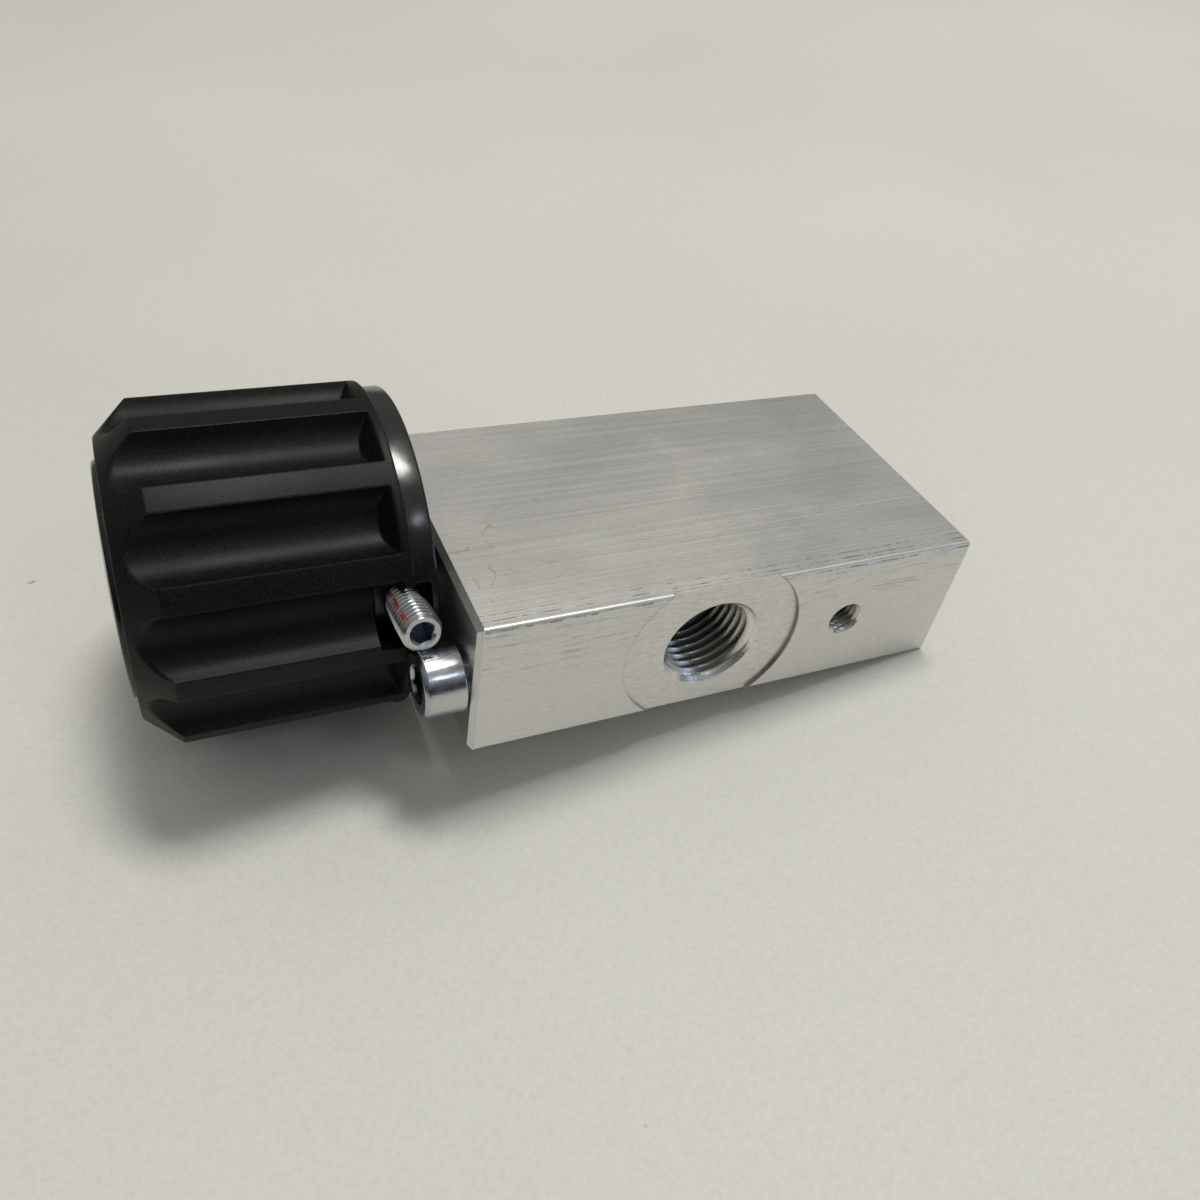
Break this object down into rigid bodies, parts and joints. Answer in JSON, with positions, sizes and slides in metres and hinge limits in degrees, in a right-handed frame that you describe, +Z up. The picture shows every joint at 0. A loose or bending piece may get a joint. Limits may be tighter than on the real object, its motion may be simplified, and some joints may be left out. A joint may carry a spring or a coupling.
{
  "type": "hydraulic flow control valve",
  "caption": "Bar-shaped aluminium flow control valve with tapped ports, a large fluted black knob on one end and a screw stop that limits its turn.",
  "frame": {"origin": "centre of the bar body's knob-side end face", "axes": "+X runs along the body away from the knob and is parallel to the spindle, -Y points out of the inlet port's face, +Z is up"},
  "size_m": [0.1063, 0.0512, 0.0425],
  "materials": {
    "body_aluminium": "drawn and milled, satin, with light handling scratches",
    "steel": "ground",
    "zinc_steel": "bright blue zinc plate",
    "black_metal": "gloss black",
    "knob_plastic": "moulded with a fine spark-eroded grain",
    "cap_plastic": "moulded, smooth",
    "seal_rubber": "nitrile",
    "brass": "turned",
    "white_plastic": "smooth",
    "wiper_plastic": "polyurethane"
  },
  "bodies": {
    "body": {"valve_body": "body_aluminium", "throttle_sleeve": "steel", "sleeve_seals": "seal_rubber", "gland_bush": "brass", "gland_seal": "seal_rubber", "spindle_seal": "seal_rubber", "backup_ring": "white_plastic", "wiper_ring": "wiper_plastic", "thrust_washer": "brass", "stop_screw": "zinc_steel", "spool_stop_ring": "steel", "compensator_spring": "steel", "spring_seat": "steel"},
    "knob_and_spindle": {"spindle": "steel", "stop_collar": "black_metal", "knob": "knob_plastic", "knob_cap": "cap_plastic", "knob_screw": "zinc_steel", "knob_washer": "zinc_steel", "stop_set_screw": "zinc_steel"},
    "compensator": {"compensator_spool": "steel"}
  },
  "joints": [
    {"name": "knob_turn", "type": "hinge", "parent": "body", "child": "knob_and_spindle", "pos_m": [0, 0.01, 0], "axis": [-1, 0, 0], "range_deg": [0, 329]},
    {"name": "compensator_slide", "type": "slide", "parent": "body", "child": "compensator", "axis": [1, 0, 0], "range_m": [0, 0.003], "stiffness_N_per_m": 3000, "springref_m": -0.001, "deforming": ["compensator_spring"]}
  ]
}
